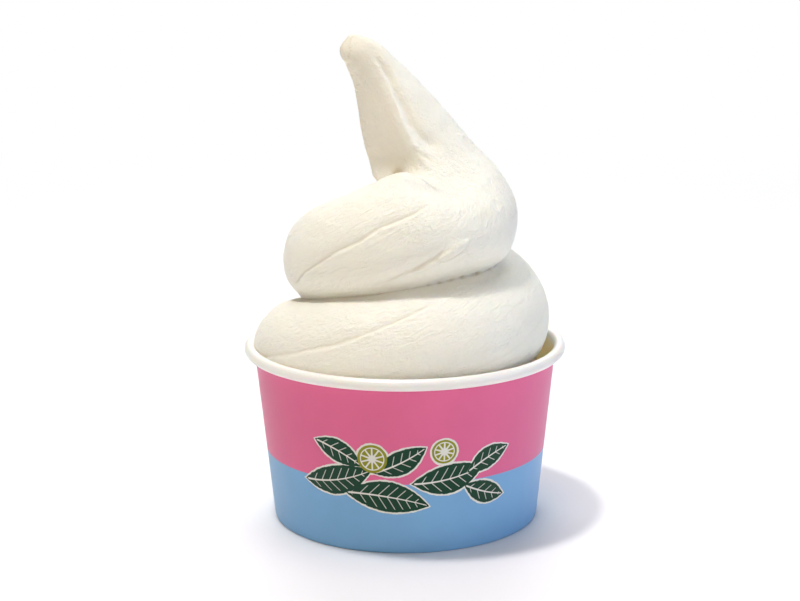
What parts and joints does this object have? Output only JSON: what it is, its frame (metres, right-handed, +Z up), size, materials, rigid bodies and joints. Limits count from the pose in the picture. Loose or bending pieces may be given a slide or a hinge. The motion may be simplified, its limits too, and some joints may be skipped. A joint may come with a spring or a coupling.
{
  "type": "soft serve cup",
  "caption": "Vanilla soft serve coiled to a tall leaning peak in a squat tapered paper dessert cup with a rolled rim.",
  "frame": {"origin": "centre of the cup's foot, on the surface that it stands on", "axes": "+Z up, -Y towards the front, where the print is, +X to the right as the front is looked at"},
  "size_m": [0.096, 0.096, 0.1445],
  "materials": {
    "printed_paper": "satin",
    "plain_paper": "matte",
    "soft_serve": "satin"
  },
  "bodies": {
    "root": {"cup_wall": "printed_paper", "cup_floor": "plain_paper", "soft_serve": "soft_serve"}
  },
  "joints": []
}
